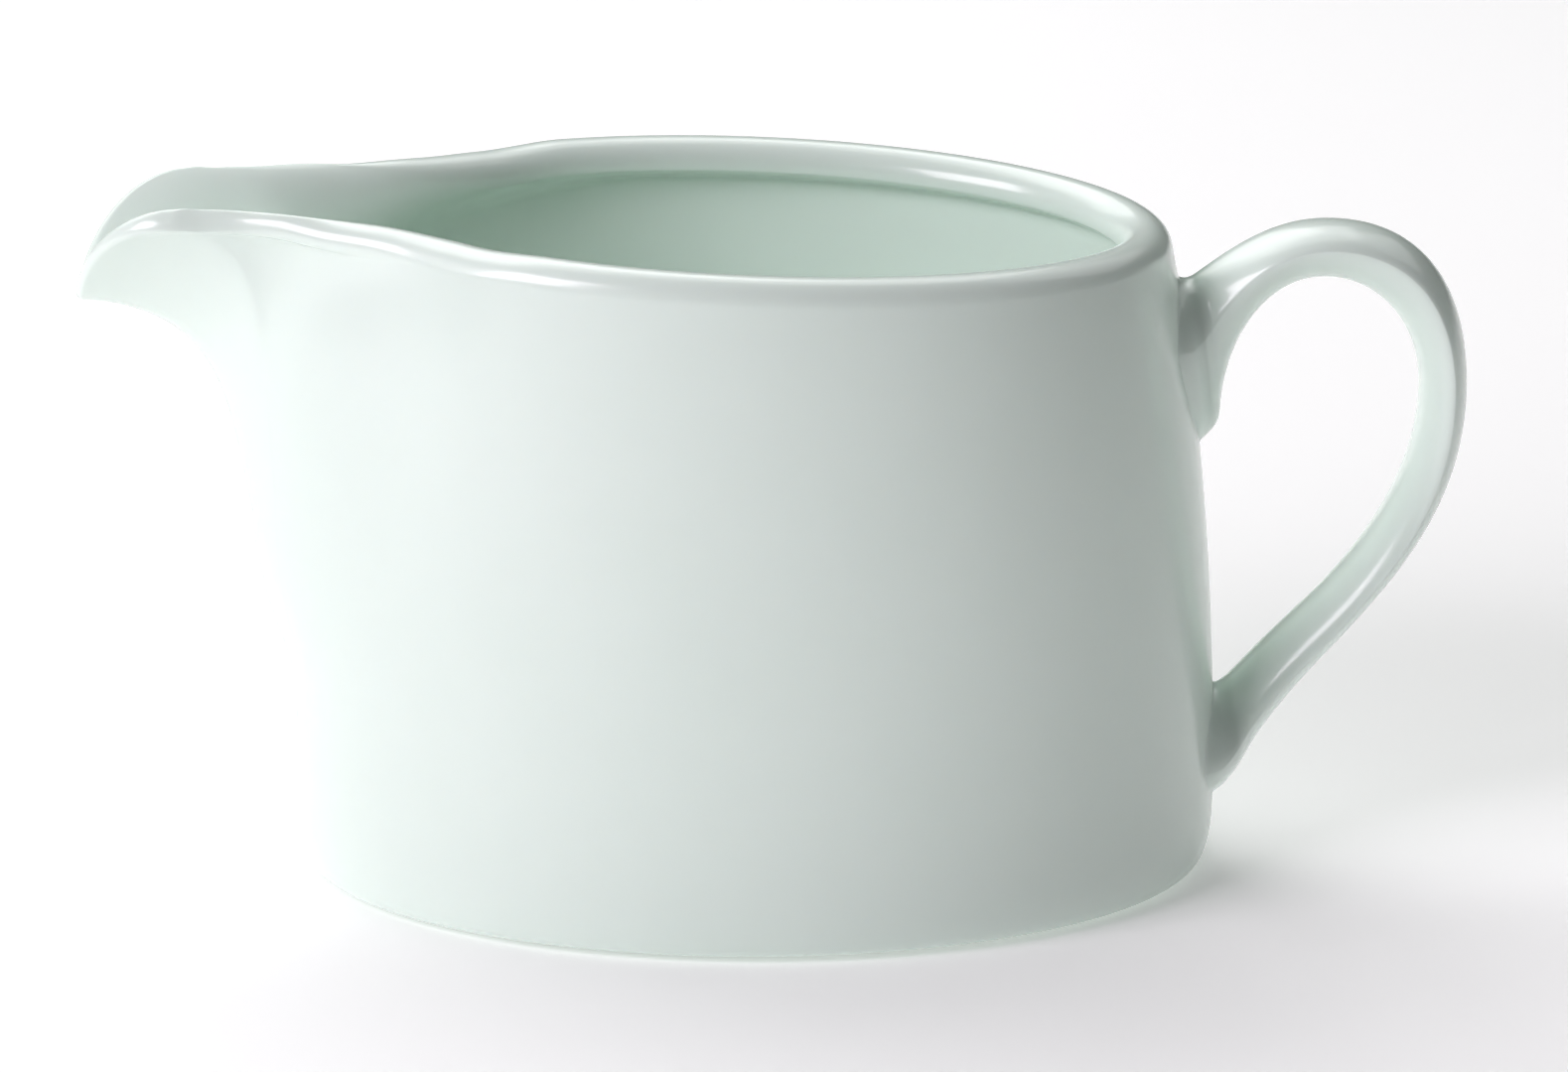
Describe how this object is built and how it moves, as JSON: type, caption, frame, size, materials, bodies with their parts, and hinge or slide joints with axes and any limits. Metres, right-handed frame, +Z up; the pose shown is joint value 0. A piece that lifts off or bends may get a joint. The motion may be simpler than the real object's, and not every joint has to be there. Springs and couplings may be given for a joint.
{
  "type": "gravy boat",
  "caption": "White porcelain gravy boat: oval bowl with a thick rolled rim, a hooked pouring beak at one end and a looped strap handle at the other, on a bare foot ring.",
  "frame": {"origin": "on the table, under the middle of the overall length from beak tip to handle", "axes": "+X towards the handle, -X towards the beak, +Y across the bowl, +Z up"},
  "size_m": [0.1873, 0.0838, 0.0956],
  "materials": {
    "glaze": "clear gloss glaze over white porcelain",
    "bare_porcelain": "ground matt, unglazed"
  },
  "bodies": {
    "root": {"body": "glaze", "foot_ring": "bare_porcelain", "handle": "glaze", "upper_handle_joint": "glaze", "lower_handle_joint": "glaze"}
  },
  "joints": []
}
